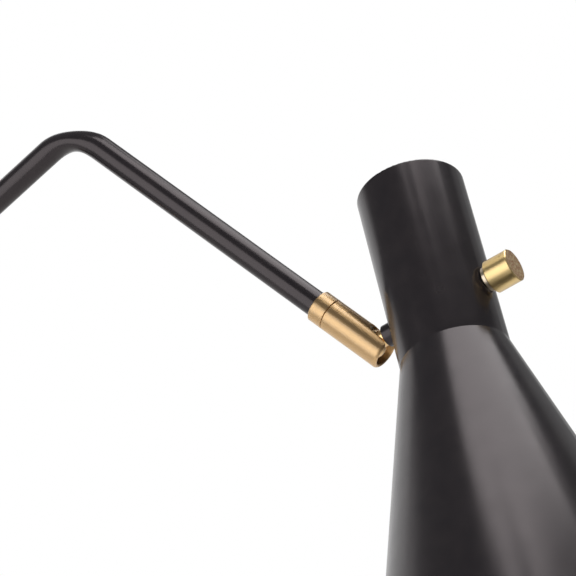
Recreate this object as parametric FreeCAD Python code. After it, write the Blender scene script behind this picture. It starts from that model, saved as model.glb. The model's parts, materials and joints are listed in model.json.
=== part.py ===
import FreeCAD, Part
import math
import os

from FreeCAD import Placement, Rotation, Vector

# Wall sconce with a swinging bent arm, a slotted ball joint and a turn knob on its shade.
# Millimetres and degrees. The wall is the plane y = 0, the origin is the middle of the mounting
# bracket's back face, the arm reaches out along -Y, and Z is up.

# Clearances
running_fit = 0.05
loose_fit = 0.1
hole_clearance = 0.4

# Wall fixing
plate_diameter = 120.0
plate_depth = 20.0
plate_sheet = 1.2
plate_edge_radius = 4.0
bracket_height = 88.0
bracket_width = 18.0
bracket_sheet = 2.0
bracket_corner_radius = 4.5
bracket_wire_hole = 26.0
box_screw_spacing = 79.4
box_screw_slot_width = 4.8
box_screw_slot_length = 24.0
box_screw_slot_land = 3.3
stud_spacing = 70.0
stud_diameter = 4.0
cap_nut_diameter = 10.0
cap_nut_length = 9.0
cap_nut_thread = 5.4
ground_screw_offset = 20.0
ground_screw_diameter = 3.5
ground_screw_head = 7.0
pan_head_height = 2.1
pan_head_edge = 0.8
screw_slot_width = 0.8

# Wall pivot
pivot_reach = 48.0
flange_diameter = 30.0
flange_thickness = 3.0
boss_diameter = 16.0
sleeve_diameter = 20.0
sleeve_height = 36.0
bushing_wall = 1.1
bushing_length = 9.0
bushing_flange = 1.2
bushing_flange_diameter = 18.0
nipple_diameter = 10.0
nipple_bore = 6.0
nipple_length = 18.0
nipple_past_nut = 1.5
nut_across_flats = 14.0
nut_thickness = 3.0
washer_thickness = 0.8
washer_diameter = 17.0
stop_collar_diameter = 19.0
stop_collar_height = 8.0
pivot_cap_height = 4.0
pivot_cap_spigot = 9.0
wire_window_height = 8.0
wire_window_half_angle = 95.0
set_screw_diameter = 4.0
small_screw_diameter = 3.0
grub_screw_point = 0.7
grub_screw_recess = 0.9
friction_pad_thickness = 1.0

# Arm
tube_diameter = 12.7
tube_wall = 1.2
corner_height = 40.0
wall_bend_radius = 19.2
rise_length = 230.0
rise_angle = 36.95
fall_length = 193.2
fall_angle = 32.82
elbow_radius = 27.0
elbow_thickness = 10.3
elbow_breadth = 14.2
elbow_sections = 9
lead_diameter = 4.8
lead_gap = 1.0

# Ball joint
barrel_diameter = 16.0
barrel_front = 8.3
barrel_nose_radius = 1.5
barrel_rear = 25.3
collar_ring_rear = 33.2
seam = 0.35
edge_chamfer = 0.45
tube_socket_depth = 6.0
spigot_diameter = 11.0
spigot_length = 11.0
spigot_bore = 5.4
ball_diameter = 14.2
lip_diameter = 12.0
lip_countersink = 0.5
notch_root = 5.5
notch_root_width = 9.0
notch_mouth_width = 11.5
seat_front = 5.0
seat_rear = 9.5
seat_bore = 6.8
disc_spring_count = 4
disc_spring_sheet = 0.6
disc_spring_bore = 6.6

# Ball and its stem
stem_tilt = 60.27
stem_diameter = 8.0
stem_neck_diameter = 8.5
stem_bore = 4.6
stem_funnel_diameter = 9.0
stem_funnel_depth = 6.0
stem_reach = 39.5
stem_past_nut = 0.8
stem_nut_across_flats = 12.0
stem_nut_thickness = 3.2
stem_washer_diameter = 13.0
collar_diameter = 10.8
collar_face = 8.3

# Shade
shade_spin = 24.05
neck_diameter = 51.65
neck_above_stem = 65.8
neck_below_stem = 29.0
shade_sheet = 0.9
shade_top_radius = 1.0
cone_half_angle = 15.7
cone_length = 176.0
hem_radius = 1.9
hem_turn = 245.0

# Socket bracket
strap_width = 13.0
strap_sheet = 1.5
strap_above_stem = 9.0
strap_web_below_stem = 22.0
strap_bend_radius = 2.5

# Switch and knob
switch_width = 19.0
switch_height = 26.0
switch_depth = 13.0
switch_corner_radius = 2.0
switch_terminal_spacing = 14.0
switch_terminal_depth = 4.3
switch_bushing_diameter = 9.4
switch_shaft_diameter = 6.0
switch_shaft_flat = 1.0
ring_nut_diameter = 12.2
ring_nut_length = 1.9
knob_diameter = 16.0
knob_base = 28.0
knob_face = 40.65
knob_bore_depth = 8.5
knob_chamfer = 0.4

# Socket and bulb
socket_nipple_length = 13.0
socket_diameter = 38.0
socket_cap_diameter = 29.0
socket_cap_height = 9.0
socket_cap_slope = 2.0
socket_edge = 1.0
socket_wire_hole = 3.0
socket_floor = 12.0
socket_length = 42.0
socket_bore = 28.4
screw_shell_sheet = 0.5
screw_shell_length = 26.0
screw_shell_floor_bore = 15.6
contact_width = 6.0
contact_sheet = 0.6
contact_rise = 3.2
bulb_cap_diameter = 26.2
bulb_cap_length = 21.0
bulb_cap_shoulder = 2.0
bulb_tip_diameter = 9.6
bulb_tip_height = 1.6
bulb_tip_edge = 1.0
bulb_insulator_height = 2.6
bulb_neck_diameter = 27.0
bulb_neck_length = 7.7
bulb_diameter = 60.0
bulb_length = 108.0
bulb_wall = 0.8

# Single wires inside the shade's neck
wire_diameter = 2.0
wire_bend_radius = 3.4
wire_offset = 1.1
wire_in_stem = 3.0
wire_in_terminal = 1.0
wire_past_nipple = 1.0

# Places and directions that follow from the sizes
toward_room = Vector(0, -1, 0)
upward = Vector(0, 0, 1)
sideways = Vector(1, 0, 0)


def elevation(angle):
    """Unit vector in the arm's plane, at an angle above the outward direction."""
    radians = math.radians(angle)
    return toward_room * math.cos(radians) + upward * math.sin(radians)


def frame(origin, z_axis, x_axis):
    """Placement with its local Z and X along two directions."""
    return Placement(origin, Rotation(x_axis, z_axis.cross(x_axis), z_axis, "ZXY"))


stem_elevation = stem_tilt - fall_angle
along_fall = elevation(-fall_angle)
along_stem = elevation(stem_elevation)
above_stem = elevation(stem_elevation + 90)
spin = math.radians(shade_spin)
along_neck = above_stem * math.cos(spin) + sideways * math.sin(spin)

pivot = toward_room * pivot_reach
wall_corner = pivot + upward * corner_height
elbow = wall_corner + elevation(rise_angle) * rise_length
ball_centre = elbow + along_fall * fall_length
neck_centre = ball_centre + along_stem * stem_reach

wall_frame = frame(Vector(), toward_room, sideways)
pivot_frame = frame(pivot, upward, sideways)
arm_frame = Placement()
barrel_frame = frame(ball_centre, along_fall, elevation(90 - fall_angle))
stem_frame = frame(ball_centre, along_stem, above_stem)
shade_frame = frame(neck_centre, along_neck, along_stem)
knob_frame = frame(neck_centre, along_stem, along_neck)
socket_frame = frame(neck_centre, -along_neck, along_stem)

tube_radius = tube_diameter / 2
sleeve_top = sleeve_height / 2
bushing_top = sleeve_top + bushing_flange
neck_radius = neck_diameter / 2
neck_inner_radius = neck_radius - shade_sheet
strap_face = math.sqrt(neck_inner_radius ** 2 - (strap_width / 2) ** 2)
strap_inner_face = strap_face - strap_sheet
stem_washer_start = stem_reach - strap_inner_face
stem_nut_start = stem_washer_start + washer_thickness
stem_end = stem_nut_start + stem_nut_thickness + stem_past_nut
cavity_radius = ball_diameter / 2 + running_fit
spigot_front = barrel_rear + seam / 2 - spigot_length
web_outer = strap_web_below_stem + strap_sheet
bracket_length = box_screw_spacing + box_screw_slot_length + 2 * box_screw_slot_land
plate_inside = plate_depth - plate_sheet
nut_inner_face = plate_inside - washer_thickness - nut_thickness
nipple_start = nut_inner_face - nipple_past_nut
knob_screw_side = Vector(0, -1, 0)
bulb_start = web_outer + socket_floor + contact_rise + loose_fit
bulb_cap_start = bulb_start + bulb_tip_height + bulb_insulator_height
bulb_glass_start = bulb_cap_start + bulb_cap_length


def revolve(points):
    """Solid turned about local Z from (radius, height) points."""
    corners = [Vector(radius, 0, height) for radius, height in points]
    face = Part.Face(Part.makePolygon(corners + corners[:1]))
    return face.revolve(Vector(), upward, 360)


def turned_sheet(edges, thickness):
    """Sheet metal or glass of one thickness, turned about local Z from its outer outline."""
    section = Part.Wire(edges).makeOffset2D(-thickness, 0, True, True)
    return section.revolve(Vector(), upward, 360)


def quarter_round(centre, radius):
    """Arc about a centre, from above it to beside it, for a rounded edge in an outline."""
    middle = centre + (upward + sideways).normalize() * radius
    return Part.Arc(centre + upward * radius, middle, centre + sideways * radius).toShape()


def cylinder(diameter, low, high):
    """Cylinder on local Z between two heights."""
    return Part.makeCylinder(diameter / 2, high - low, upward * low)


def ring(outer, inner, low, high):
    """Tube on local Z between two heights."""
    return cylinder(outer, low, high).cut(cylinder(inner, low, high))


def cross_cylinder(diameter, start, end):
    """Cylinder from one point to another."""
    axis = end - start
    return Part.makeCylinder(diameter / 2, axis.Length, start, axis)


def hexagon(across_flats, low, high):
    """Hexagonal prism on local Z."""
    radius = across_flats / math.sqrt(3)
    corners = [Vector(radius, 0, low)]
    for step in range(1, 7):
        corners.append(Rotation(upward, 60 * step).multVec(corners[0]))
    return Part.Face(Part.makePolygon(corners)).extrude(upward * (high - low))


def hex_nut(across_flats, bore, low, high):
    """Hexagonal nut with its corners turned off on both faces."""
    corner_radius = across_flats / math.sqrt(3)
    bevel = corner_radius - across_flats / 2
    blank = revolve([
        (0, low), (across_flats / 2, low), (corner_radius, low + bevel),
        (corner_radius, high - bevel), (across_flats / 2, high), (0, high)])
    return hexagon(across_flats, low, high).common(blank).cut(cylinder(bore, low, high))


def grub_screw(diameter, start, end):
    """Headless screw between two points, with a hexagon recess in its outer end."""
    axis = end - start
    length = axis.Length
    radius = diameter / 2
    point = radius * grub_screw_point
    body = revolve([(0, 0), (point, 0), (radius, radius - point), (radius, length), (0, length)])
    screw = body.cut(hexagon(radius, length - radius * grub_screw_recess, length))
    screw.Placement = Placement(start, Rotation(upward, axis))
    return screw


def bend(before, corner, after, radius):
    """Start, middle and end of the arc that rounds a corner, with the arc's centre."""
    back = (before - corner).normalize()
    ahead = (after - corner).normalize()
    half = back.getAngle(ahead) / 2
    reach = radius / math.tan(half)
    centre = corner + (back + ahead).normalize() * (radius / math.sin(half))
    middle = centre + (corner - centre).normalize() * radius
    return corner + back * reach, middle, corner + ahead * reach, centre


def rounded_path(points, radii):
    """Wire of straight runs through points, with each inner corner rounded to its radius."""
    edges = []
    start = points[0]
    for before, corner, after, radius in zip(points, points[1:], points[2:], radii):
        arc_start, middle, arc_end, _ = bend(before, corner, after, radius)
        edges.append(Part.makeLine(start, arc_start))
        edges.append(Part.Arc(arc_start, middle, arc_end).toShape())
        start = arc_end
    edges.append(Part.makeLine(start, points[-1]))
    return Part.Wire(edges)


def swept_wire(points, diameter, radii):
    """Round wire or lead along a rounded path."""
    path = rounded_path(points, radii)
    circle = Part.makeCircle(diameter / 2, points[0], points[1] - points[0])
    return path.makePipeShell([Part.Wire(circle)], True, True)


# Wall fixing, in the wall frame: local Z runs from the wall into the room, local Y is up


def mounting_bracket():
    """Steel cross: a level bar with slots for the wall box screws, an upright bar for the studs."""
    level = Part.makeBox(bracket_length, bracket_width, bracket_sheet,
                         Vector(-bracket_length / 2, -bracket_width / 2, 0))
    upright = Part.makeBox(bracket_width, bracket_height, bracket_sheet,
                           Vector(-bracket_width / 2, -bracket_height / 2, 0))
    cross = level.fuse(upright).removeSplitter()
    uprights = [edge for edge in cross.Edges if edge.Length == edge.BoundBox.ZLength]
    cross = cross.makeFillet(bracket_corner_radius, uprights)
    holes = [cylinder(bracket_wire_hole, 0, bracket_sheet)]
    for side in (-1, 1):
        holes.append(box_screw_slot(side * box_screw_spacing / 2))
        holes.append(cross_cylinder(stud_diameter, Vector(0, side * stud_spacing / 2, 0),
                                    Vector(0, side * stud_spacing / 2, bracket_sheet)))
    holes.append(cross_cylinder(ground_screw_diameter, Vector(0, -ground_screw_offset, 0),
                                Vector(0, -ground_screw_offset, bracket_sheet)))
    return cross.cut(holes)


def box_screw_slot(middle):
    """Cutter for one slot, so that the bracket fits both common wall box spacings."""
    half = (box_screw_slot_length - box_screw_slot_width) / 2
    run = Part.makeBox(2 * half, box_screw_slot_width, bracket_sheet,
                       Vector(middle - half, -box_screw_slot_width / 2, 0))
    ends = [cross_cylinder(box_screw_slot_width, Vector(middle + side * half, 0, 0),
                           Vector(middle + side * half, 0, bracket_sheet)) for side in (-1, 1)]
    return run.fuse(ends)


def bracket_studs():
    """Two threaded studs pressed into the bracket, which hold the wall plate."""
    end = plate_depth + cap_nut_thread
    return Part.makeCompound([
        cross_cylinder(stud_diameter, Vector(0, side * stud_spacing / 2, 0),
                       Vector(0, side * stud_spacing / 2, end)) for side in (-1, 1)])


def ground_screw():
    """Pan-headed screw for the earth wire."""
    radius = ground_screw_head / 2
    top = bracket_sheet + pan_head_height
    screw = cylinder(ground_screw_diameter, 0, bracket_sheet)
    head = revolve([
        (0, bracket_sheet), (radius, bracket_sheet), (radius, top - pan_head_edge),
        (radius - pan_head_edge, top), (0, top)])
    slot = Part.makeBox(ground_screw_head, screw_slot_width, pan_head_height / 2,
                        Vector(-radius, -screw_slot_width / 2, top - pan_head_height / 2))
    screw = screw.fuse(head).cut(slot).removeSplitter()
    screw.translate(Vector(0, -ground_screw_offset, 0))
    return screw


def wall_plate():
    """Round spun cup that covers the bracket and the wall box."""
    radius = plate_diameter / 2
    hole = nipple_diameter / 2 + hole_clearance / 2
    shoulder = radius - plate_edge_radius
    edge_low = plate_depth - plate_edge_radius
    cup = turned_sheet([
        Part.makeLine(Vector(hole, 0, plate_depth), Vector(shoulder, 0, plate_depth)),
        quarter_round(Vector(shoulder, 0, edge_low), plate_edge_radius),
        Part.makeLine(Vector(radius, 0, edge_low), Vector(radius, 0, 0))], plate_sheet)
    holes = [cross_cylinder(stud_diameter + hole_clearance, Vector(0, side * stud_spacing / 2, 0),
                            Vector(0, side * stud_spacing / 2, plate_depth)) for side in (-1, 1)]
    return cup.cut(holes)


def cap_nuts():
    """Two domed brass nuts on the studs, in front of the wall plate."""
    radius = cap_nut_diameter / 2
    rim = plate_depth + cap_nut_length - radius
    nuts = []
    for side in (-1, 1):
        dome = Part.makeSphere(radius, upward * rim, upward, 0, 90, 360)
        nut = cylinder(cap_nut_diameter, plate_depth, rim).fuse(dome).removeSplitter()
        nut = nut.cut(cylinder(stud_diameter, plate_depth, plate_depth + cap_nut_thread))
        nut.translate(Vector(0, side * stud_spacing / 2, 0))
        nuts.append(nut)
    return Part.makeCompound(nuts)


def hub():
    """Brass hub: a flange on the wall plate, a boss and the upright sleeve that the arm turns in."""
    sleeve_bore = tube_diameter + 2 * (running_fit + bushing_wall)
    flange_front = plate_depth + flange_thickness
    flange = revolve([
        (0, plate_depth), (flange_diameter / 2, plate_depth),
        (flange_diameter / 2, flange_front - edge_chamfer),
        (flange_diameter / 2 - edge_chamfer, flange_front), (0, flange_front)])
    boss = cylinder(boss_diameter, plate_depth, pivot_reach)
    low = Vector(0, -sleeve_top, pivot_reach)
    high = Vector(0, sleeve_top, pivot_reach)
    sleeve = cross_cylinder(sleeve_diameter, low, high)
    front = Vector(0, 0, pivot_reach + sleeve_diameter / 2)
    cuts = [
        cross_cylinder(sleeve_bore, low, high),
        cylinder(nipple_bore, plate_depth, pivot_reach),
        cylinder(nipple_diameter, plate_depth, nipple_start + nipple_length),
        cross_cylinder(set_screw_diameter, Vector(0, 0, pivot_reach), front)]
    return sleeve.fuse([flange, boss]).removeSplitter().cut(cuts)


def hub_nipple():
    """Hollow threaded nipple that draws the hub against the plate and lets the lead through."""
    return ring(nipple_diameter, nipple_bore, nipple_start, nipple_start + nipple_length)


def hub_washer():
    """Flat washer behind the wall plate."""
    return ring(washer_diameter, nipple_diameter, plate_inside - washer_thickness, plate_inside)


def hub_nut():
    """Hexagonal nut behind the wall plate."""
    return hex_nut(nut_across_flats, nipple_diameter, nut_inner_face, nut_inner_face + nut_thickness)


def wall_lead():
    """Supply lead from behind the plate, through the nipple, up to the pivot tube's window."""
    return cylinder(lead_diameter, bracket_sheet, pivot_reach - tube_radius - lead_gap)


# Wall pivot, in the pivot frame: local Z is the upright swing axis


def pivot_bushings():
    """Two flanged nylon bushings in the ends of the sleeve."""
    bore = tube_diameter + 2 * running_fit
    outer = bore + 2 * bushing_wall
    upper = ring(outer, bore, sleeve_top - bushing_length, bushing_top)
    upper = upper.fuse(ring(bushing_flange_diameter, bore, sleeve_top, bushing_top)).removeSplitter()
    lower = upper.mirror(Vector(), upward)
    return Part.makeCompound([upper, lower])


def friction_pad():
    """Nylon disc that the friction screw presses on the arm's tube."""
    start = toward_room * (tube_radius + running_fit)
    return cross_cylinder(set_screw_diameter, start, start + toward_room * friction_pad_thickness)


def friction_screw():
    """Headless screw in the sleeve's front, which sets how stiffly the arm swings."""
    start = tube_radius + running_fit + friction_pad_thickness
    return grub_screw(set_screw_diameter, toward_room * start,
                      toward_room * (sleeve_diameter / 2 - edge_chamfer))


def stop_collar():
    """Brass collar fixed on the tube, which carries the arm on the upper bushing."""
    low = bushing_top + loose_fit
    high = low + stop_collar_height
    radius = stop_collar_diameter / 2
    body = revolve([
        (tube_radius, low), (radius, low), (radius, high - edge_chamfer),
        (radius - edge_chamfer, high), (tube_radius, high)])
    middle = upward * (low + high) / 2
    return body.cut(cross_cylinder(small_screw_diameter, middle, middle - toward_room * radius))


def stop_collar_screw():
    """Headless screw that locks the collar on the tube."""
    middle = upward * (bushing_top + loose_fit + stop_collar_height / 2)
    outer = stop_collar_diameter / 2 - edge_chamfer
    return grub_screw(small_screw_diameter, middle - toward_room * tube_radius,
                      middle - toward_room * outer)


def pivot_cap():
    """Brass cap plugged into the tube's lower end, which keeps the arm from lifting out."""
    high = -bushing_top - loose_fit
    low = high - pivot_cap_height
    disc = cylinder(stop_collar_diameter, low, high)
    rim = [edge for edge in disc.Edges if edge.BoundBox.ZMax < high - pivot_cap_height / 2]
    disc = disc.makeFillet(pivot_cap_height / 2, rim)
    spigot = cylinder(tube_diameter - 2 * tube_wall, high, high + pivot_cap_spigot)
    return disc.fuse(spigot).removeSplitter()


# Arm, in the part's own frame


def tube_end():
    """Middle of the tube's far end, inside the collar ring."""
    return ball_centre - along_fall * (collar_ring_rear - tube_socket_depth)


def oval(centre, direction, across, in_plane):
    """Oval section of the elbow, across one direction, with its breadth along local X."""
    circle = Part.makeCircle(1).toNurbs().Edges[0]
    matrix = FreeCAD.Matrix()
    matrix.scale(across, in_plane, 1)
    section = circle.transformGeometry(matrix)
    section.Placement = frame(centre, direction, sideways)
    return Part.Wire([section])


def elbow_bend(inset):
    """The sharp bend, pressed a little flat in its middle, as a bent tube is."""
    centre = bend(wall_corner, elbow, ball_centre, elbow_radius)[3]
    turn = rise_angle + fall_angle
    sections = []
    for step in range(elbow_sections):
        share = step / (elbow_sections - 1)
        flatness = math.sin(math.pi * share) ** 2
        in_plane = tube_radius - inset + (elbow_thickness / 2 - tube_radius) * flatness
        across = tube_radius - inset + (elbow_breadth / 2 - tube_radius) * flatness
        heading = elevation(rise_angle - turn * share)
        outward = elevation(rise_angle + 90 - turn * share)
        sections.append(oval(centre + outward * elbow_radius, heading, across, in_plane))
    return Part.makeLoft(sections, True, False)


def tube_solid(inset):
    """The arm's whole tube as a solid bar, its surface set in by a distance."""
    diameter = tube_diameter - 2 * inset
    foot = pivot - upward * (bushing_top + loose_fit)
    start, middle, rise_start, _ = bend(foot, wall_corner, elbow, wall_bend_radius)
    rise_end, _, fall_start, _ = bend(wall_corner, elbow, ball_centre, elbow_radius)
    arc = Part.Wire(Part.Arc(start, middle, rise_start).toShape())
    profile = Part.Wire(Part.makeCircle(diameter / 2, start, upward))
    pieces = [
        arc.makePipeShell([profile], True, True),
        cross_cylinder(diameter, rise_start, rise_end),
        elbow_bend(inset),
        cross_cylinder(diameter, fall_start, tube_end())]
    return cross_cylinder(diameter, foot, start).fuse(pieces)


def arm_tube():
    """Steel tube with a bend at the wall, a rise, the elbow and the fall to the ball joint."""
    tube = tube_solid(0).cut(tube_solid(tube_wall))
    window = Part.makeCylinder(tube_diameter, wire_window_height,
                               pivot - upward * wire_window_height / 2, upward,
                               2 * wire_window_half_angle)
    window.rotate(pivot, upward, 90 - wire_window_half_angle)
    return tube.cut(window)


def arm_lead():
    """Two-core lead inside the tube, from above the window to the collar ring."""
    start = pivot + upward * wire_window_height
    end = ball_centre - along_fall * spigot_front
    return swept_wire([start, wall_corner, elbow, end], lead_diameter, [wall_bend_radius, elbow_radius])


# Ball joint, in the barrel frame: local Z runs along the falling tube, local X is the notch side


def collar_ring():
    """Brass ring on the tube's end, with the hollow spigot that the barrel turns on."""
    radius = barrel_diameter / 2
    shoulder = -barrel_rear - seam / 2
    floor = -collar_ring_rear + tube_socket_depth
    return revolve([
        (tube_radius, -collar_ring_rear), (radius - edge_chamfer, -collar_ring_rear),
        (radius, -collar_ring_rear + edge_chamfer), (radius, shoulder - edge_chamfer / 2),
        (radius - edge_chamfer / 2, shoulder), (spigot_diameter / 2, shoulder),
        (spigot_diameter / 2, -spigot_front), (spigot_bore / 2, -spigot_front),
        (spigot_bore / 2, floor), (tube_radius, floor)])


def notch_cutter():
    """Flared slot with a round root, through the barrel's wall on one side only."""
    root = notch_root_width / 2
    mouth = notch_mouth_width / 2
    centre = root - notch_root
    past_end = barrel_front + running_fit
    outline = Part.Wire([
        Part.Arc(Vector(0, -root, centre), Vector(0, 0, -notch_root), Vector(0, root, centre)).toShape(),
        Part.makeLine(Vector(0, root, centre), Vector(0, mouth, past_end)),
        Part.makeLine(Vector(0, mouth, past_end), Vector(0, -mouth, past_end)),
        Part.makeLine(Vector(0, -mouth, past_end), Vector(0, -root, centre))])
    return Part.Face(outline).extrude(sideways * barrel_diameter)


def barrel():
    """Brass barrel that holds the ball behind its lip, with a notch to let the stem tilt square."""
    radius = barrel_diameter / 2
    rear = -barrel_rear + seam / 2
    lip = lip_diameter / 2
    lip_height = math.sqrt(cavity_radius ** 2 - lip ** 2)
    bore = spigot_diameter / 2 + running_fit
    nose_centre = Vector(radius - barrel_nose_radius, 0, barrel_front - barrel_nose_radius)
    lip_edge = Vector(lip, 0, lip_height)
    widest = sideways * cavity_radius
    mouth = Part.makePolygon([
        nose_centre + upward * barrel_nose_radius, Vector(lip, 0, barrel_front - lip_countersink), lip_edge])
    hollow = Part.Arc(lip_edge, (lip_edge + widest).normalize() * cavity_radius, widest).toShape()
    body = Part.makePolygon([
        widest, Vector(cavity_radius, 0, -spigot_front), Vector(bore, 0, -spigot_front),
        Vector(bore, 0, rear), Vector(radius - edge_chamfer / 2, 0, rear),
        Vector(radius, 0, rear + edge_chamfer / 2), nose_centre + sideways * barrel_nose_radius])
    nose = quarter_round(nose_centre, barrel_nose_radius)
    section = Part.Face(Part.Wire(mouth.Edges + [hollow] + body.Edges + [nose]))
    return section.revolve(Vector(), upward, 360).cut(notch_cutter())


def ball_seat():
    """Ring with a round hollow, pressed on the ball from behind."""
    blank = ring(2 * cavity_radius - 2 * running_fit, seat_bore, -seat_rear, -seat_front)
    return blank.cut(Part.makeSphere(cavity_radius))


def disc_springs():
    """Four coned washers, turned alternately, between the spigot and the ball seat."""
    pitch = (spigot_front - seat_rear) / disc_spring_count
    lift = pitch - disc_spring_sheet
    outer = cavity_radius - 2 * running_fit
    inner = disc_spring_bore / 2
    springs = []
    for index in range(disc_spring_count):
        low = -spigot_front + index * pitch
        rims = (0, lift) if index % 2 else (lift, 0)
        springs.append(revolve([
            (inner, low + rims[0]), (outer, low + rims[1]),
            (outer, low + rims[1] + disc_spring_sheet), (inner, low + rims[0] + disc_spring_sheet)]))
    return Part.makeCompound(springs)


# Ball and stem, in the stem frame: local Z runs from the ball's centre to the shade's neck


def ball_stem():
    """Brass ball with its hollow threaded stem."""
    funnel = revolve([
        (0, -ball_diameter), (stem_funnel_diameter, -ball_diameter),
        (stem_funnel_diameter / 2, -ball_diameter / 2),
        (stem_bore / 2, -ball_diameter / 2 + stem_funnel_depth),
        (0, -ball_diameter / 2 + stem_funnel_depth)])
    shoulder = collar_face - running_fit
    neck = cylinder(stem_neck_diameter, 0, shoulder)
    thread = revolve([
        (0, shoulder), (stem_diameter / 2, shoulder), (stem_diameter / 2, stem_end - edge_chamfer),
        (stem_diameter / 2 - edge_chamfer, stem_end), (0, stem_end)])
    solid = Part.makeSphere(ball_diameter / 2).fuse([neck, thread])
    return solid.cut([funnel, cylinder(stem_bore, -ball_diameter / 2, stem_end)])


def stem_collar():
    """Black spacer between the ball and the neck, its far end hollowed to sit on the round neck."""
    radius = collar_diameter / 2
    blank = revolve([
        (0, collar_face), (radius - edge_chamfer, collar_face), (radius, collar_face + edge_chamfer),
        (radius, stem_reach - neck_radius / 2), (0, stem_reach - neck_radius / 2)])
    neck_axis = Vector(math.cos(spin), -math.sin(spin), 0)
    middle = upward * stem_reach
    neck_bar = cross_cylinder(neck_diameter, middle - neck_axis * neck_diameter,
                              middle + neck_axis * neck_diameter)
    bore = cylinder(stem_diameter + 2 * running_fit, 0, stem_reach)
    return blank.cut([neck_bar, bore])


def stem_washer():
    """Spring washer between the socket bracket and the nut."""
    return ring(stem_washer_diameter, stem_diameter, stem_washer_start, stem_nut_start)


def stem_nut():
    """Nut that holds the shade on the stem, inside the neck."""
    return hex_nut(stem_nut_across_flats, stem_diameter, stem_nut_start,
                   stem_nut_start + stem_nut_thickness)


# Shade, in the shade frame: local Z runs up the neck, local X from the ball to the knob


def shade_outline():
    """Outer outline: closed top, straight neck, sharp crease, cone and the hem's inward roll."""
    slope = math.radians(cone_half_angle)
    shoulder = Vector(neck_radius - shade_top_radius, 0, neck_above_stem - shade_top_radius)
    crease = Vector(neck_radius, 0, -neck_below_stem)
    hem_start = crease + Vector(math.tan(slope), 0, -1) * cone_length
    hem_centre = hem_start - Vector(math.cos(slope), 0, math.sin(slope)) * hem_radius

    def on_hem(turn):
        """Point on the hem's roll, a turn past its start."""
        angle = slope - math.radians(turn)
        return hem_centre + Vector(math.cos(angle), 0, math.sin(angle)) * hem_radius

    return [
        Part.makeLine(upward * neck_above_stem, shoulder + upward * shade_top_radius),
        quarter_round(shoulder, shade_top_radius),
        Part.makeLine(shoulder + sideways * shade_top_radius, crease),
        Part.makeLine(crease, hem_start),
        Part.Arc(hem_start, on_hem(hem_turn / 2), on_hem(hem_turn)).toShape()]


def shade():
    """One-piece spun shade, with holes for the stem and for the switch's bushing."""
    body = turned_sheet(shade_outline(), shade_sheet)
    stem_hole = cross_cylinder(stem_diameter + 2 * running_fit, Vector(), -sideways * neck_diameter)
    switch_hole = cross_cylinder(switch_bushing_diameter + 2 * loose_fit, Vector(),
                                 sideways * neck_diameter)
    return body.cut([stem_hole, switch_hole])


def socket_bracket():
    """Flat steel strap bent to a U, held in the neck by the stem and the switch, for the socket."""
    top = strap_above_stem
    web = -web_outer
    outer_radius = strap_bend_radius + strap_sheet
    path = rounded_path([
        Vector(-strap_face, 0, top), Vector(-strap_face, 0, web),
        Vector(strap_face, 0, web), Vector(strap_face, 0, top)], [outer_radius, outer_radius])
    section = path.makeOffset2D(strap_sheet, 0, True, True)
    strap = section.extrude(Vector(0, strap_width, 0))
    strap.translate(Vector(0, -strap_width / 2, 0))
    holes = [
        cross_cylinder(stem_diameter + 2 * running_fit, Vector(), -sideways * neck_diameter),
        cross_cylinder(switch_bushing_diameter, Vector(), sideways * neck_diameter),
        cylinder(nipple_diameter, -web_outer, -strap_web_below_stem)]
    return strap.cut(holes)


# Switch and knob, in the knob frame: local Z runs outward through the knob, local X up the neck


def switch_body():
    """Rotary switch housing inside the neck."""
    low = strap_inner_face - switch_depth
    box = Part.makeBox(switch_height, switch_width, switch_depth,
                       Vector(-switch_height / 2, -switch_width / 2, low))
    corners = [edge for edge in box.Edges if edge.BoundBox.ZLength > switch_depth / 2]
    box = box.makeFillet(switch_corner_radius, corners)
    shaft_bore = cylinder(switch_shaft_diameter + 2 * running_fit, low + switch_depth / 2, strap_inner_face)
    terminals = [cross_cylinder(wire_diameter, Vector(side * switch_terminal_spacing / 2, 0, low),
                                Vector(side * switch_terminal_spacing / 2, 0, low + switch_terminal_depth))
                 for side in (-1, 1)]
    return box.cut([shaft_bore] + terminals)


def switch_bushing():
    """Threaded bushing of the switch, out through the bracket and the neck's wall."""
    end = neck_radius + ring_nut_length
    return ring(switch_bushing_diameter, switch_shaft_diameter + 2 * running_fit, strap_inner_face, end)


def switch_ring_nut():
    """Thin round nut that clamps the switch to the neck."""
    low = neck_radius
    high = neck_radius + ring_nut_length
    radius = ring_nut_diameter / 2
    return revolve([
        (switch_bushing_diameter / 2, low), (radius, low), (radius, high - edge_chamfer),
        (radius - edge_chamfer, high), (switch_bushing_diameter / 2, high)])


def switch_shaft():
    """Shaft from inside the switch to inside the knob, with a flat for the knob's screw."""
    low = strap_inner_face - switch_depth / 2 + loose_fit
    high = knob_base + knob_bore_depth - loose_fit
    radius = switch_shaft_diameter / 2
    shaft = cylinder(switch_shaft_diameter, low, high)
    flat = Part.makeBox(switch_shaft_diameter, switch_shaft_flat, knob_bore_depth,
                        Vector(-radius, -radius, knob_base))
    return shaft.cut(flat)


def knob():
    """Turned brass knob with a blind bore and a screw hole on its far side."""
    radius = knob_diameter / 2
    body = revolve([
        (0, knob_base), (radius - knob_chamfer, knob_base), (radius, knob_base + knob_chamfer),
        (radius, knob_face - knob_chamfer), (radius - knob_chamfer, knob_face), (0, knob_face)])
    bore = cylinder(switch_shaft_diameter, knob_base, knob_base + knob_bore_depth)
    middle = upward * (knob_base + knob_bore_depth / 2)
    screw_hole = cross_cylinder(small_screw_diameter, middle, middle + knob_screw_side * radius)
    return body.cut([bore, screw_hole])


def knob_screw():
    """Headless screw that grips the shaft's flat."""
    middle = upward * (knob_base + knob_bore_depth / 2)
    start = switch_shaft_diameter / 2 - switch_shaft_flat
    return grub_screw(small_screw_diameter, middle + knob_screw_side * start,
                      middle + knob_screw_side * (knob_diameter / 2 - knob_chamfer))


# Socket and bulb, in the socket frame: local Z runs down the neck to the mouth


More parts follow.
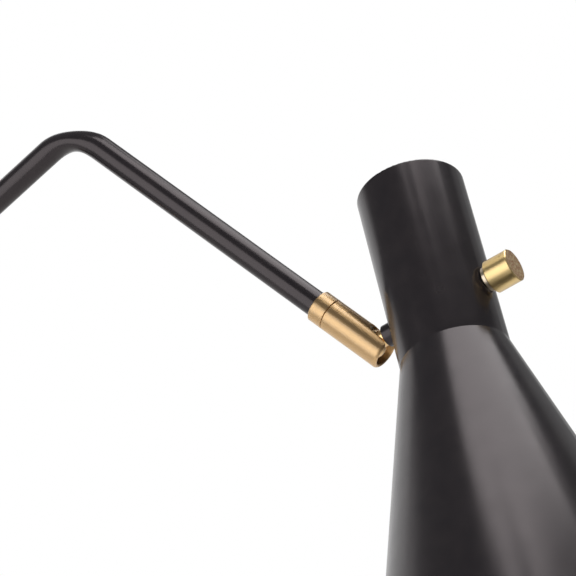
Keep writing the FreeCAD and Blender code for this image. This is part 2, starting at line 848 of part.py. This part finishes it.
def from_web(distance):
    """Height below the stem's axis, counted from the bracket's web."""
    return web_outer + distance


def socket_nipple():
    """Hollow nipple that hangs the socket from the bracket's web."""
    end = from_web(socket_floor / 2)
    return ring(nipple_diameter, nipple_bore, end - socket_nipple_length, end)


def socket_nut():
    """Nut on top of the bracket's web."""
    return hex_nut(nut_across_flats, nipple_diameter, strap_web_below_stem - nut_thickness,
                   strap_web_below_stem)


def socket_body():
    """Moulded socket with a cap end, a thick floor and an open mouth."""
    radius = socket_diameter / 2
    cap = socket_cap_diameter / 2
    body = revolve([
        (0, from_web(0)), (cap - socket_edge, from_web(0)), (cap, from_web(socket_edge)),
        (cap, from_web(socket_cap_height - socket_cap_slope)), (radius, from_web(socket_cap_height)),
        (radius, from_web(socket_length - socket_edge)), (radius - socket_edge, from_web(socket_length)),
        (socket_bore / 2, from_web(socket_length)), (socket_bore / 2, from_web(socket_floor)),
        (0, from_web(socket_floor))])
    return body.cut([
        cylinder(nipple_diameter, from_web(0), from_web(socket_floor / 2)),
        cylinder(socket_wire_hole, from_web(0), from_web(socket_floor))])


def screw_shell():
    """Thin metal shell that the bulb screws into, with a flange on the socket's floor."""
    low = from_web(socket_floor)
    outer = socket_bore / 2 - loose_fit
    high = low + screw_shell_length
    inner = screw_shell_floor_bore / 2
    return revolve([
        (inner, low), (outer, low), (outer, high), (outer - screw_shell_sheet, high),
        (outer - screw_shell_sheet, low + screw_shell_sheet), (inner, low + screw_shell_sheet)])


def centre_contact():
    """Sprung brass tongue under the bulb's tip."""
    low = from_web(socket_floor)
    reach = bulb_tip_diameter / 2
    path = Part.Wire([
        Part.makeLine(Vector(-reach, 0, low), Vector(-reach / 2, 0, low)),
        Part.makeLine(Vector(-reach / 2, 0, low), Vector(reach / 4, 0, low + contact_rise - contact_sheet)),
        Part.makeLine(Vector(reach / 4, 0, low + contact_rise - contact_sheet),
                      Vector(reach, 0, low + contact_rise - contact_sheet))])
    section = path.makeOffset2D(contact_sheet, 0, True, True)
    tongue = section.extrude(Vector(0, contact_width, 0))
    tongue.translate(Vector(0, -contact_width / 2, 0))
    return tongue


def bulb_tip():
    """Contact and glass insulator at the end of the bulb's cap."""
    contact = bulb_tip_diameter / 2
    return revolve([
        (0, bulb_start), (contact - bulb_tip_edge, bulb_start), (contact, bulb_start + bulb_tip_height),
        (bulb_cap_diameter / 2 - bulb_cap_shoulder, bulb_cap_start), (0, bulb_cap_start)])


def bulb_cap():
    """Screw cap of the bulb, a closed cup with a rounded lower rim."""
    radius = bulb_cap_diameter / 2
    return revolve([
        (0, bulb_cap_start), (radius - bulb_cap_shoulder, bulb_cap_start),
        (radius, bulb_cap_start + bulb_cap_shoulder), (radius, bulb_glass_start), (0, bulb_glass_start)])


def bulb_glass():
    """Pear-shaped envelope: round end, hollow flare that meets it, and a straight neck."""
    neck = bulb_neck_diameter / 2
    globe = bulb_diameter / 2
    neck_end = Vector(neck, 0, bulb_glass_start + bulb_neck_length)
    globe_centre = upward * (bulb_start + bulb_length - globe)
    drop = globe_centre.z - neck_end.z
    flare = (neck ** 2 + drop ** 2 - globe ** 2) / (2 * (globe - neck))
    flare_centre = neck_end + sideways * flare
    to_globe = (globe_centre - flare_centre).normalize()
    flare_end = flare_centre + to_globe * flare
    flare_middle = flare_centre + (to_globe - sideways).normalize() * flare
    return turned_sheet([
        Part.Arc(globe_centre + upward * globe, globe_centre + sideways * globe, flare_end).toShape(),
        Part.Arc(flare_end, flare_middle, neck_end).toShape(),
        Part.makeLine(neck_end, Vector(neck, 0, bulb_glass_start))], bulb_wall)


# Wires inside the neck, in the shade frame


def wire_path(points):
    """Insulated wire through points beside the switch and the socket bracket."""
    return swept_wire(points, wire_diameter, [wire_bend_radius] * (len(points) - 2))


def stem_mouth(offset):
    """Point inside the stem's bore, near its end, shifted up or down."""
    return Vector(stem_end - stem_reach - wire_in_stem, 0, offset)


def nipple_mouth(offset):
    """Point just inside the socket's nipple, shifted along the stem's direction."""
    return Vector(offset, 0, -from_web(socket_floor / 2) + wire_past_nipple)


def switch_terminal(side):
    """Point inside the switch's upper or lower terminal."""
    return Vector(strap_inner_face - switch_depth + wire_in_terminal, 0, side * switch_terminal_spacing / 2)


def lead_supply():
    """Wire from the stem's bore, up and over to the switch's upper terminal."""
    start = stem_mouth(wire_offset)
    end = switch_terminal(1)
    middle = (end.x + stem_end - stem_reach) / 2
    return wire_path([start, Vector(middle, 0, start.z), Vector(middle, 0, end.z), end])


def lead_return():
    """Wire from the stem's bore down to the socket's nipple."""
    start = stem_mouth(-wire_offset)
    return wire_path([start, Vector(-wire_offset, 0, start.z), nipple_mouth(-wire_offset)])


def lead_switched():
    """Wire from the switch's lower terminal down to the socket's nipple."""
    start = switch_terminal(-1)
    return wire_path([start, Vector(wire_offset, 0, start.z), nipple_mouth(wire_offset)])


pieces = [
    (wall_frame, [mounting_bracket, bracket_studs, ground_screw, wall_plate, cap_nuts, hub,
                  hub_nipple, hub_washer, hub_nut, wall_lead]),
    (pivot_frame, [pivot_bushings, friction_pad, friction_screw, stop_collar, stop_collar_screw,
                   pivot_cap]),
    (arm_frame, [arm_tube, arm_lead]),
    (barrel_frame, [collar_ring, barrel, ball_seat, disc_springs]),
    (stem_frame, [ball_stem, stem_collar, stem_washer, stem_nut]),
    (shade_frame, [shade, socket_bracket, lead_supply, lead_return, lead_switched]),
    (knob_frame, [switch_body, switch_bushing, switch_ring_nut, switch_shaft, knob, knob_screw]),
    (socket_frame, [socket_nipple, socket_nut, socket_body, screw_shell, centre_contact,
                    bulb_tip, bulb_cap, bulb_glass]),
]


def main():
    """Make every piece in its own frame, place it and write it."""
    os.makedirs("parts", exist_ok=True)
    for place, makers in pieces:
        for maker in makers:
            shape = maker().copy()
            shape.Placement = place.multiply(shape.Placement)
            shape.exportStep("parts/" + maker.__name__ + ".step")


main()
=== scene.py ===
# %% [markdown]
# A wall sconce is dressed here for its portrait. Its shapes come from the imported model, in which
# every piece is already in its place, and this script adds what a model of shapes has not: the
# finishes, the fine threads behind the wall plate, a camera, a floor and studio light. The frame is
# loaded first and nothing in it is moved, because everything else is placed against it.

# %% Load the model as a fixed frame
import json
import math

import bmesh
import bpy
from mathutils import Matrix, Vector


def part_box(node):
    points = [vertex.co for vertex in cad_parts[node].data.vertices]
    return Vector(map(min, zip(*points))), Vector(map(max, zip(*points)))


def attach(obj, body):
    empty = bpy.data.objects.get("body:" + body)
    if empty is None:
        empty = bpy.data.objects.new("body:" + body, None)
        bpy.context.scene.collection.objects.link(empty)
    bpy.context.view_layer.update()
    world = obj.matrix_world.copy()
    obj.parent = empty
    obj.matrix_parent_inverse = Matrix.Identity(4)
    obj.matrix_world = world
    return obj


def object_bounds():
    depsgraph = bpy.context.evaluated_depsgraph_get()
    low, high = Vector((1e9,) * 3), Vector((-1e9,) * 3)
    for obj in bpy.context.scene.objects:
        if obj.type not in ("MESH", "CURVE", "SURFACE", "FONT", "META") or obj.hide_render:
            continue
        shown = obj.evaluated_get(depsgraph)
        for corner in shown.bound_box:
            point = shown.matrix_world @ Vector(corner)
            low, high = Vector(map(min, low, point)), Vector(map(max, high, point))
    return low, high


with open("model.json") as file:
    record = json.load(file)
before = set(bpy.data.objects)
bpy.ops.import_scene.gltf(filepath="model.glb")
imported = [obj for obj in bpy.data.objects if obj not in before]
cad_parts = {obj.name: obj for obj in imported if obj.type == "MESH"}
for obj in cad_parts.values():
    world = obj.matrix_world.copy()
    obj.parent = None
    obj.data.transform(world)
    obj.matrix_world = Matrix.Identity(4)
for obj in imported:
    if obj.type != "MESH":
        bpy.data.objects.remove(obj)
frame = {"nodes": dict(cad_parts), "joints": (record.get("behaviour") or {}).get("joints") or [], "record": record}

cad_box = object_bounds()

# %% [markdown]
# A lamp with joints carries its own map. The swing's joint stands at the wall pivot, the tilt's
# joint is the middle of the brass ball, and the turns run along the falling tube and along the
# ball's stem. Reading these places from the joints keeps the finishes true to the model if it
# changes. Only the lean of the shade's neck has no joint of its own, so its angle is given.

# %% Places and directions of the lamp
MM = 0.001
UP = Vector((0, 0, 1))
joints = {joint["name"]: joint for joint in frame["joints"]}
pivot = Vector(joints["arm_swing"]["pos_m"])
ball_centre = Vector(joints["ball_tilt"]["pos_m"])
fall_direction = Vector(joints["barrel_turn"]["axis"])
neck_centre = Vector(joints["shade_spin"]["pos_m"])
stem_direction = Vector(joints["shade_spin"]["axis"])
neck_lean = math.radians(24.05)
sideways = Vector((1, 0, 0))
above_stem = stem_direction.cross(sideways)
neck_direction = above_stem * math.cos(neck_lean) + sideways * math.sin(neck_lean)
print("ball centre in mm:", [round(x / MM, 1) for x in ball_centre])

# %% [markdown]
# The photograph is a close view through a long lens, held level and turned to the lamp's left
# side. The picture's frame cuts off the wall plate on the left and the shade's mouth below. The
# place and the focal length come from fitting the tube's bend, the ball and the neck, so the same
# frame cuts the model at the same places.

# %% Camera
camera_data = bpy.data.cameras.new("camera")
camera_data.sensor_width = 36
camera_data.lens = 156.28
camera_data.clip_start = 0.05
camera = bpy.data.objects.new("camera", camera_data)
camera_back = Vector((-0.8914, -0.4532, 0)).normalized()
camera_right = UP.cross(camera_back)
camera.location = Vector((-1053.9, -886.15, 99.86)) * MM
camera.rotation_mode = "QUATERNION"
camera.rotation_quaternion = (-camera_back).to_track_quat("-Z", "Y")
bpy.context.scene.collection.objects.link(camera)
bpy.context.scene.camera = camera
bpy.context.scene.view_settings.view_transform = "Standard"
print("camera", round((camera.location - ball_centre).length, 3), "m from the ball")

# %% [markdown]
# Colours are written as sRGB hex, the way a paint chart gives them, and one function turns them
# into the linear values that shaders expect. A second function adds one node of any kind: its
# settings by name, and for each input either a value or another node's output, which it links. So
# each finish below reads as a short list from the surface's cause to the shader. A third function
# opens a new material and gives it the object's own coordinates, in which every pattern is laid.

# %% Colour and node helpers
def colour(code):
    """Linear RGBA from an sRGB hex code."""
    channels = [int(code[i:i + 2], 16) / 255 for i in (1, 3, 5)]
    return [c / 12.92 if c <= 0.04045 else ((c + 0.055) / 1.055) ** 2.4 for c in channels] + [1]


def add(tree, kind, inputs=(), output=0, **settings):
    """Adds a node with its settings, values and links, and returns one of its outputs."""
    made = tree.nodes.new("ShaderNode" + kind)
    for name, value in settings.items():
        setattr(made, name, value)
    for name, value in dict(inputs).items():
        if isinstance(value, bpy.types.NodeSocket):
            tree.links.new(value, made.inputs[name])
        else:
            made.inputs[name].default_value = value
    return made.outputs[output] if made.outputs else None


def start_material(name):
    """A new material, its empty node tree and its object coordinates."""
    made = bpy.data.materials.new(name)
    made.use_nodes = True
    made.node_tree.nodes.clear()
    return made, made.node_tree, add(made.node_tree, "TexCoord", output="Object")


print("an 18% grey card is", [round(c, 3) for c in colour("#767676")])

# %% [markdown]
# A product like this is photographed on white paper. The floor is a pale disc well below the lamp,
# as the sconce hangs on a wall and doesn't stand on it. It catches the lamp's shadow and throws
# light back up under the tube, and it fades out before its rim, so that no edge shows.

# %% Floor
FLOOR_DROP = 0.16
FLOOR_RADIUS = 1.4
paper_material, tree, where = start_material("matt_white_paper")
distance = add(tree, "VectorMath", {0: where, 1: (0, -0.3, 0)}, "Value", operation="DISTANCE")
fade = add(tree, "MapRange", {"Value": distance, "From Min": 0.35, "From Max": 1.2},
           interpolation_type="SMOOTHSTEP")
paper = add(tree, "BsdfDiffuse", {"Color": colour("#F2F1EF")})
clear = add(tree, "BsdfTransparent")
add(tree, "OutputMaterial", {"Surface": add(tree, "MixShader", {0: fade, 1: paper, 2: clear})})

mesh = bpy.data.meshes.new("floor")
bm = bmesh.new()
bmesh.ops.create_circle(bm, cap_ends=True, radius=FLOOR_RADIUS, segments=96)
bm.to_mesh(mesh)
bm.free()
floor = bpy.data.objects.new("floor", mesh)
floor.location = (0, 0, cad_box[0].z - FLOOR_DROP)
mesh.materials.append(paper_material)
bpy.context.scene.collection.objects.link(floor)
print("floor", round(FLOOR_DROP / MM), "mm below the shade's mouth")

# %% [markdown]
# A strip of light hangs close overhead, turned a little across the tube. A shorter strip at its
# front slants its outline, a weaker one behind softens it, and a large square stands at the
# camera's left. Their places and outlines matter more than their power, because satin paint and
# brass show them as bright bands along every cylinder. The overhead light is narrow along the tube,
# so the turned brass, which smears it that way, shows it much dimmer than the paint does. A faint
# one stands where the flat end of the knob looks, which would mirror the dim room without it.

# %% Soft boxes
camera_axes = Matrix((camera_right, UP, camera_back)).transposed()


def soft_box(name, place, long_side, length, width, radiance, slide=(0, 0)):
    """Area lamp aimed at the ball joint, then slid along and across in its own plane, in metres.
    Place and long side are given as right, up and back of the camera."""
    data = bpy.data.lights.new(name, "AREA")
    data.shape = "RECTANGLE"
    data.size, data.size_y = length, width
    data.energy = radiance * math.pi * length * width
    lamp = bpy.data.objects.new(name, data)
    away = camera_axes @ Vector(place)
    outward = away.normalized()
    side = camera_axes @ Vector(long_side)
    along = (side - outward * side.dot(outward)).normalized()
    lamp.location = ball_centre + away + along * slide[0] + outward.cross(along) * slide[1]
    lamp.rotation_mode = "QUATERNION"
    turned = Matrix((along, outward.cross(along), outward)).transposed()
    lamp.rotation_quaternion = turned.to_quaternion()
    lamp.visible_camera = False
    bpy.context.scene.collection.objects.link(lamp)
    print(name, "radiance", radiance)


OVERHEAD = (0.061, 0.5, -0.078)
ACROSS_TUBE = (0.81, 0, -0.587)
soft_box("overhead_strip", OVERHEAD, ACROSS_TUBE, 0.65, 0.21, 3.3, slide=(-0.02, 0))
soft_box("front_strip", OVERHEAD, ACROSS_TUBE, 0.42, 0.085, 3.3, slide=(0.005, -0.1475))
soft_box("back_strip", OVERHEAD, ACROSS_TUBE, 0.32, 0.138, 1.8, slide=(0.165, 0.174))
soft_box("left_soft_box", (-1.25, -0.05, 0.97), (0, 1, 0), 1.7, 1.7, 1.85)
soft_box("knob_card", (0.696, 0.406, -0.647), (0, 1, 0), 0.4, 0.4, 0.2)

# %% [markdown]
# The room around the lamp is the world. The camera sees it as plain white. Shiny surfaces see what
# a studio has there: the white paper that rises behind the lamp, a black card at its right that
# draws the shade's edge, and a dim room over it and toward the camera. Matt surfaces get a low,
# even light from it. Light Path tells these rays apart.

# %% World
ROOM = 0.15
BACKDROP = 1.0
CARD = 0.8
FILL = 0.6
world = bpy.data.worlds.new("white studio")
bpy.context.scene.world = world
world.use_nodes = True
tree = world.node_tree
tree.nodes.clear()
direction = add(tree, "TexCoord", output="Generated")


def towards(aim, low, high):
    """Share from 0 to 1 of a direction's turn towards an aim, between two cosines."""
    cosine = add(tree, "VectorMath", {0: direction, 1: aim}, "Value", operation="DOT_PRODUCT")
    return add(tree, "MapRange", {"Value": cosine, "From Min": low, "From Max": high},
               interpolation_type="SMOOTHSTEP")


behind_lamp = towards(-camera_back, 0.5, 0.68)
below_boxes = towards(UP + camera_right * 0.2, 0.5, 0.3)
paper_seen = add(tree, "Math", {0: behind_lamp, 1: below_boxes}, operation="MULTIPLY")
card_seen = add(tree, "Math", {0: towards(camera_right, 0.1, 0.4), 1: CARD}, operation="MULTIPLY")
paper_light = add(tree, "Mix", {0: card_seen, 2: BACKDROP, 3: ROOM}, data_type="FLOAT")
around = add(tree, "Mix", {0: paper_seen, 2: ROOM, 3: paper_light}, data_type="FLOAT")
glossy_ray = add(tree, "LightPath", output="Is Glossy Ray")
camera_ray = add(tree, "LightPath", output="Is Camera Ray")
clear_ray = add(tree, "LightPath", output="Is Transmission Ray")
reflected = add(tree, "Mix", {0: glossy_ray, 2: FILL, 3: around}, data_type="FLOAT")
seen = add(tree, "Math", {0: camera_ray, 1: clear_ray}, operation="MAXIMUM")
strength = add(tree, "Mix", {0: seen, 2: reflected, 3: 1.0}, data_type="FLOAT")
light = add(tree, "Background", {"Color": colour("#FFFFFF"), "Strength": strength})
add(tree, "OutputWorld", {"Surface": light})
print("room", ROOM, "backdrop", BACKDROP, "fill", FILL)

# %% [markdown]
# The arm, the wall plate and the spacer are steel with a black powder coat. Powder melts into an
# even satin skin with a very faint orange peel, so highlights keep clear edges but never mirror.
# Handling leaves cloudy patches that are a little duller and browner than the rest. The peel could
# be real geometry, but it is only micrometres deep, so a bump carries it. One function gives this
# skin to a paint, and the moulded and sheathed pieces use it with their own numbers.

# %% Painted and moulded skins
SKIN_SPECULAR = colour("#FFF1F3")
PEEL_SIZE = 0.8 * MM
PEEL_DEPTH = 0.004 * MM
RUB_SIZE = 11.0 * MM
GRAIN_SIZE = 0.5 * MM
PATCH_SIZE = 9.0 * MM


def satin_skin(tree, where, paint, roughness):
    """Skin over a paint: orange peel by bump, and roughness that is uneven by rubs and grain."""
    peel = add(tree, "TexNoise", {"Vector": where, "Scale": 1 / PEEL_SIZE, "Detail": 2.0})
    bump = add(tree, "Bump", {"Strength": 1.0, "Distance": PEEL_DEPTH, "Height": peel})
    rubs = add(tree, "TexNoise", {"Vector": where, "Scale": 1 / RUB_SIZE, "Detail": 4.0})
    grain = add(tree, "TexNoise", {"Vector": where, "Scale": 1 / GRAIN_SIZE, "Detail": 2.0})
    dullness = add(tree, "Math", {0: rubs, 1: grain}, operation="ADD")
    uneven = add(tree, "MapRange", {"Value": dullness, "From Min": 0.6, "From Max": 1.4,
                                    "To Min": roughness - 0.03, "To Max": roughness + 0.05})
    skin = add(tree, "BsdfPrincipled", {"Base Color": paint, "Roughness": uneven, "Normal": bump,
                                        "Specular Tint": SKIN_SPECULAR})
    add(tree, "OutputMaterial", {"Surface": skin})


def clouded(tree, where, fresh, rubbed):
    """Two tones of one paint in cloudy patches."""
    patches = add(tree, "TexNoise", {"Vector": where, "Scale": 1 / PATCH_SIZE, "Detail": 5.0})
    share = add(tree, "MapRange", {"Value": patches, "From Min": 0.3, "From Max": 0.7})
    return add(tree, "Mix", {0: share, 6: colour(fresh), 7: colour(rubbed)}, 2, data_type="RGBA")


def coated(name, fresh, rubbed, roughness):
    """Paint or moulded skin in a fresh and a rubbed colour."""
    made, tree, where = start_material(name)
    satin_skin(tree, where, clouded(tree, where, fresh, rubbed), roughness)
    return made


BLACK = ("#1A181B", "#211E20")
BLACK_ROUGHNESS = 0.22
black_powder_coat = coated("black_powder_coat", *BLACK, BLACK_ROUGHNESS)
print("made", black_powder_coat.name)

# %% [markdown]
# The shade is spun aluminium with the same black coat outside, and white enamel inside, which is
# what such shades have so that they throw the light down. One sheet carries both. Two materials on
# its faces would do, but the model's mesh is left alone, so the material itself tells inside from
# outside by place: the enamel is closer to the neck's axis than the middle of the sheet.

# %% Shade: black outside, white inside
NECK_RADIUS = 25.825 * MM
NECK_ABOVE = 65.8 * MM
NECK_BELOW = 29.0 * MM
CONE_SLOPE = math.tan(math.radians(15.7))
CONE_LENGTH = 172 * MM
HALF_SHEET = 0.45 * MM
spun_shade, tree, where = start_material("black_coat_and_white_enamel")
from_neck = add(tree, "VectorMath", {0: where, 1: neck_centre}, operation="SUBTRACT")
height = add(tree, "VectorMath", {0: from_neck, 1: neck_direction}, "Value",
             operation="DOT_PRODUCT")
across = add(tree, "VectorMath", {0: from_neck, 1: neck_direction}, operation="CROSS_PRODUCT")
radius = add(tree, "VectorMath", {0: across}, "Value", operation="LENGTH")
below_neck = add(tree, "Math", {0: -NECK_BELOW, 1: height}, operation="SUBTRACT")
drop = add(tree, "Math", {0: below_neck, 1: 0.0}, operation="MAXIMUM")
sheet_middle = add(tree, "Math", {0: drop, 1: CONE_SLOPE, 2: NECK_RADIUS - HALF_SHEET},
                   operation="MULTIPLY_ADD")
inside = add(tree, "Math", {0: radius, 1: sheet_middle}, operation="LESS_THAN")
under_top = add(tree, "Math", {0: height, 1: NECK_ABOVE - HALF_SHEET}, operation="LESS_THAN")
above_hem = add(tree, "Math", {0: drop, 1: CONE_LENGTH}, operation="LESS_THAN")
between_ends = add(tree, "Math", {0: under_top, 1: above_hem}, operation="MULTIPLY")
enamelled = add(tree, "Math", {0: inside, 1: between_ends}, operation="MULTIPLY")
paint = add(tree, "Mix", {0: enamelled, 6: clouded(tree, where, *BLACK), 7: colour("#F1EEE6")}, 2,
            data_type="RGBA")
satin_skin(tree, where, paint, BLACK_ROUGHNESS)
print("made", spun_shade.name)

# %% [markdown]
# The brass pieces are turned on a lathe and lacquered. The tool leaves rings around the axis that
# are far too fine to see one by one. They smear each reflection along the piece and leave it crisp
# around it, which is why the bands on the barrel run straight from end to end. So the shader is
# anisotropic, with its tangent worked out from the lathe's axis, a weak noise stretched into rings
# keeps the bands from looking drawn, and a coat stands for the lacquer. Real tool rings are about
# 0.05 mm apart; they are drawn 0.12 mm apart, the finest that a close view still shows.

# %% Turned metal
RING_SPACING = 0.12 * MM
BLOT_SIZE = 1.1 * MM
FLAT_FROM, FLAT_TO = 0.96, 0.99
FACED_DULLNESS = 0.12
BLOT_DULLNESS = 0.15


def turned_metal(name, code, roughness, point, axis, smear, lacquer=0.7, face_shade_tone=None):
    """Metal turned about an axis through a point; the last argument is a browner tone, painted shade on blots of
    its flat end.
    """
    made, tree, where = start_material(name)
    from_point = add(tree, "VectorMath", {0: where, 1: point}, operation="SUBTRACT")
    around = add(tree, "VectorMath", {0: from_point, 1: axis}, operation="CROSS_PRODUCT")
    normal = add(tree, "NewGeometry", output="Normal")
    across_rings = add(tree, "VectorMath", {0: around, 1: normal}, operation="CROSS_PRODUCT")
    height = add(tree, "VectorMath", {0: from_point, 1: axis}, "Value", operation="DOT_PRODUCT")
    radius = add(tree, "VectorMath", {0: around}, "Value", operation="LENGTH")
    ring_place = add(tree, "CombineXYZ", {"X": height, "Y": radius})
    rings = add(tree, "TexNoise", {"Vector": ring_place, "Scale": 1 / RING_SPACING, "Detail": 2.0})
    uneven = add(tree, "MapRange", {"Value": rings, "From Min": 0.3, "From Max": 0.7,
                                    "To Min": roughness - 0.03, "To Max": roughness + 0.03})
    tone = colour(code)
    smeared = across_rings
    if face_shade_tone:
        cosine = add(tree, "VectorMath", {0: normal, 1: axis}, "Value", operation="DOT_PRODUCT")
        flat = add(tree, "MapRange", {"Value": cosine, "From Min": FLAT_FROM, "From Max": FLAT_TO})
        uneven = add(tree, "Math", {0: flat, 1: FACED_DULLNESS, 2: uneven},
                     operation="MULTIPLY_ADD")
        blots = add(tree, "TexNoise", {"Vector": where, "Scale": 1 / BLOT_SIZE, "Detail": 4.0})
        blotted = add(tree, "MapRange", {"Value": blots, "From Min": 0.4, "From Max": 0.6})
        shaded_and_dulled_blots = add(tree, "Math", {0: flat, 1: blotted}, operation="MULTIPLY")
        # Painted shade: the blots on the flat end take the browner tone.
        tone = add(tree, "Mix", {0: shaded_and_dulled_blots, 6: colour(code), 7: colour(face_shade_tone)}, 2, data_type="RGBA")
        uneven = add(tree, "Math", {0: shaded_and_dulled_blots, 1: BLOT_DULLNESS, 2: uneven},
                     operation="MULTIPLY_ADD")
        smeared = add(tree, "Mix", {0: flat, 4: across_rings, 5: above_stem}, 1, data_type="VECTOR")
    metal = add(tree, "BsdfPrincipled", {"Base Color": tone, "Metallic": 1.0, "Roughness": uneven,
                                         "Tangent": smeared, "Anisotropic": smear,
                                         "Coat Weight": lacquer, "Coat Roughness": 0.12})
    add(tree, "OutputMaterial", {"Surface": metal})
    return made


# Long smears along the falling tube make straight bands of light from end to end.
barrel_brass = turned_metal("lacquered_barrel_brass", "#E6C08B", 0.46, ball_centre,
                            fall_direction, 0.88)
# The knob is paler from the fingers. Its end was rubbed flat on paper, in one direction across
# the rings, so it is rougher and blotted and reflects evenly. Its blots are also painted browner, as painted
# shade.
knob_brass = turned_metal("knob_brass_with_painted_face_shade", "#F3D493", 0.38, neck_centre, stem_direction,
                          0.85, face_shade_tone="#D6964A")
# The ball is polished so that it moves smoothly, and shows small, sharp lights.
ball_brass = turned_metal("polished_ball_brass", "#EBC48A", 0.22, neck_centre, stem_direction,
                          0.3)
# The hub and its nuts are turned about the upright pivot and look a little redder in the shade.
upright_brass = turned_metal("lacquered_hub_brass", "#EBBB82", 0.4, pivot, UP, 0.8)
# Nickel plate is bright and nearly colourless, with a soft ring around each highlight.
nickel_plate = turned_metal("nickel_plate", "#D8C8B2", 0.3, neck_centre, stem_direction, 0.4,
                            lacquer=0)
# Zinc plate on pressed steel is a dull blue-grey that blurs what it reflects evenly.
zinc_plate = turned_metal("zinc_plated_steel", "#B4B6B8", 0.35, pivot, Vector((0, 1, 0)), 0,
                          lacquer=0)
print("made six metal finishes")

# %% [markdown]
# What is left is moulded, sheathed, blown or brushed on. All of it is a coloured skin with a gloss
# of its own, so the skin of the black coat serves again, with a colour and a roughness for each.

# %% Other finishes
# Moulded nylon is off-white and matt, and looks soft beside the brass.
nylon = coated("moulded_nylon", "#E8E4DA", "#DDD8CB", 0.42)
# Moulded phenolic is a brownish black with a dull gloss from its steel mould.
phenolic = coated("moulded_phenolic", "#1B1A1A", "#242120", 0.28)
# The leads' sheath is extruded plastic, matt and dark so that it disappears, and the return lead's
# is white with a soft sheen.
lead_sheath = coated("extruded_black_sheath", "#1A1A1A", "#262524", 0.5)
white_wire = coated("extruded_white_sheath", "#E9E7E1", "#DEDBD2", 0.4)
# Opal glass is white right through under a smooth blown skin, so it glows and shines at once.
opal_glass = coated("blown_opal_glass", "#F4F2EC", "#EFEDE6", 0.2)
# The earth screw is dipped in green paint, which marks it for whoever wires the lamp.
green_dip = coated("green_dipped_screw", "#2E7A45", "#286B3D", 0.35)

by_slot = {
    "black_steel": black_powder_coat, "black_shade": spun_shade, "black_collar": black_powder_coat,
    "satin_brass": barrel_brass, "spring_steel": zinc_plate, "zinc_steel": zinc_plate,
    "nickel": nickel_plate, "nylon": nylon, "black_moulding": phenolic, "green_screw": green_dip,
    "lead_sheath": lead_sheath, "white_wire": white_wire, "opal_glass": opal_glass,
    "bulb_metal": nickel_plate,
}
by_node = {"knob": knob_brass, "hub": upright_brass, "stop_collar": upright_brass,
           "pivot_cap": upright_brass, "cap_nuts": upright_brass, "ball_stem": ball_brass}
slots = {part["node"]: part["material_slot"] for part in frame["record"]["subparts"]}
for name, piece in frame["nodes"].items():
    piece.data.materials.clear()
    piece.data.materials.append(by_node.get(name) or by_slot[slots[name]])
print("dressed", len(slots), "nodes")

# %% [markdown]
# Behind the wall plate two studs and the hub's nipple carry real threads, which the model has as
# plain rods. A thread is a ridge that climbs a rod by one pitch in each turn. It could be cut into
# the rod, but a separate ridge leaves the model's piece alone. It starts as a three-sided face,
# whose flank is a share of the pitch, and one spin with a lift in each step makes all of its turns,
# closed at both ends.

# %% Threads on the studs and the nipple
STEPS_PER_TURN = 24
RIDGE_ROOT = 0.1 * MM
RIDGE_HEIGHT = 0.15 * MM
FLANK = 0.42


def thread(name, start, end, radius, pitch, body):
    """Right-hand ridge around a rod along Y, from a start to an end on its axis, in metres."""
    bm = bmesh.new()
    along = (end - start).normalized()
    out = along.cross(sideways) * -1
    corners = [start + out * (radius - RIDGE_ROOT) - along * (pitch * FLANK),
               start + out * (radius - RIDGE_ROOT) + along * (pitch * FLANK),
               start + out * (radius + RIDGE_HEIGHT)]
    face = bm.faces.new([bm.verts.new(corner) for corner in corners])
    turns = (end - start).length / pitch
    steps = round(turns * STEPS_PER_TURN)
    bmesh.ops.spin(bm, geom=[face, *face.edges, *face.verts], cent=start, axis=along,
                   dvec=along * (pitch / STEPS_PER_TURN), angle=math.tau * steps / STEPS_PER_TURN,
                   steps=steps, use_merge=False, use_duplicate=False)
    bmesh.ops.recalc_face_normals(bm, faces=bm.faces)
    mesh = bpy.data.meshes.new(name)
    bm.to_mesh(mesh)
    bm.free()
    piece = bpy.data.objects.new(name, mesh)
    mesh.materials.append(zinc_plate)
    bpy.context.scene.collection.objects.link(piece)
    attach(piece, body)
    print(name, round(turns, 1), "turns,", len(mesh.polygons), "faces")


STUD_PITCH = 0.7 * MM
PLATE_SHEET = 1.2 * MM
# The ridges stay just clear of the bracket and of the plate's inner face.
stud_low, stud_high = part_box("bracket_studs")
stud_radius = stud_high.x
stud_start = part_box("mounting_bracket")[0].y - 0.8 * MM
stud_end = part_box("wall_plate")[0].y + PLATE_SHEET + 0.6 * MM
for name, height in (("stud_thread_upper", stud_high.z - stud_radius),
                     ("stud_thread_lower", stud_low.z + stud_radius)):
    thread(name, Vector((0, stud_start, height)), Vector((0, stud_end, height)), stud_radius,
           STUD_PITCH, "wall_mount")

NIPPLE_PITCH = 1.0 * MM
nipple_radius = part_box("hub_nipple")[1].x
nipple_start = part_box("hub_nut")[1].y
nipple_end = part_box("hub_nipple")[1].y - FLANK * NIPPLE_PITCH
thread("nipple_thread", Vector((0, nipple_start, 0)), Vector((0, nipple_end, 0)), nipple_radius,
       NIPPLE_PITCH, "wall_mount")

# %% [markdown]
# The size of the model of shapes, in mm.

# %% Sizes and end
print("box in mm", [round(side / MM, 1) for side in cad_box[1] - cad_box[0]])
